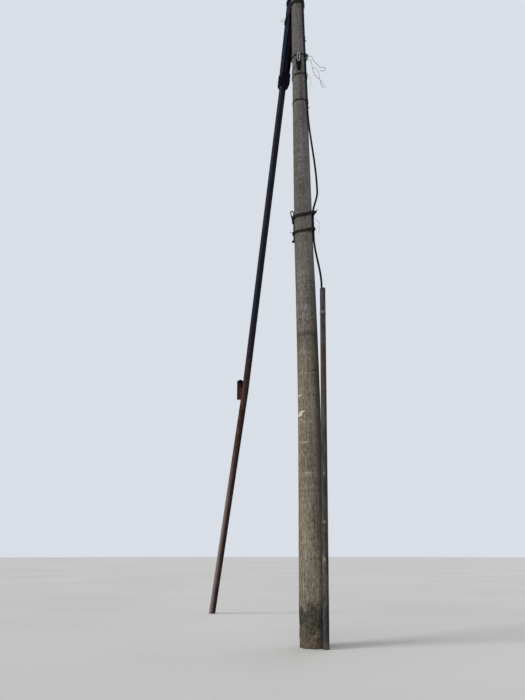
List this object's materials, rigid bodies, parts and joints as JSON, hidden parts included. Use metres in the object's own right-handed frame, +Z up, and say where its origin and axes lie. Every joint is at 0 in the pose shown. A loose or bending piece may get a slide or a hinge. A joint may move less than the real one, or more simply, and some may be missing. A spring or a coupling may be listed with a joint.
{
  "type": "wooden utility pole with a steel pipe brace",
  "caption": "Round wooden utility pole from ground level up, with a raking steel pipe brace, a cable in a steel conduit, wire lashings and swan-neck insulators.",
  "frame": {"origin": "centre of the pole's flat base at ground level", "axes": "+Z up along the pole, +X to the right in the picture, -Y towards its viewer"},
  "size_m": [1.3114, 2.7599, 7.485],
  "materials": {
    "weathered_wood": "grey-brown weathered bare wood, fine cracks and stains",
    "rusty_steel": "bare steel with red-brown rust",
    "dark_steel": "dark brown-black weathered steel",
    "conduit_steel": "dull grey-brown weathered steel",
    "grey_steel": "dull galvanised steel",
    "lashing_wire": "dark annealed binding wire",
    "cable_jacket": "matte black jacket",
    "black_plastic": "matte black plastic",
    "porcelain": "glazed, dusty"
  },
  "bodies": {
    "root": {"pole_shaft": "weathered_wood", "brace_lower_pipe": "rusty_steel", "brace_upper_pipe": "dark_steel", "brace_side_plate": "rusty_steel", "brace_side_socket": "dark_steel", "brace_head_channel": "dark_steel", "brace_head_collar": "dark_steel", "brace_head_lashing_low": "lashing_wire", "brace_head_lashing_high": "lashing_wire", "conduit_lower_pipe": "conduit_steel", "conduit_coupling": "conduit_steel", "conduit_upper_pipe": "conduit_steel", "service_cable": "cable_jacket", "cable_end_boot": "cable_jacket", "cable_clip_low": "dark_steel", "cable_clip_mid": "dark_steel", "cable_clip_high": "dark_steel", "lashing_upper_wrap": "lashing_wire", "lashing_lower_wrap": "lashing_wire", "lashing_bent_bar": "dark_steel", "lashing_bar_knob": "black_plastic", "hanger_wire": "lashing_wire", "guard_wire": "lashing_wire", "hanger_strap": "grey_steel", "hanger_clamp": "black_plastic", "hanger_pin": "grey_steel", "steel_strap": "dark_steel", "insulator_hook_1": "rusty_steel", "insulator_hook_2": "rusty_steel", "insulator_hook_3": "rusty_steel", "insulator_hook_4": "rusty_steel", "insulator_1": "porcelain", "insulator_2": "porcelain", "insulator_3": "porcelain", "insulator_4": "porcelain"}
  },
  "joints": []
}
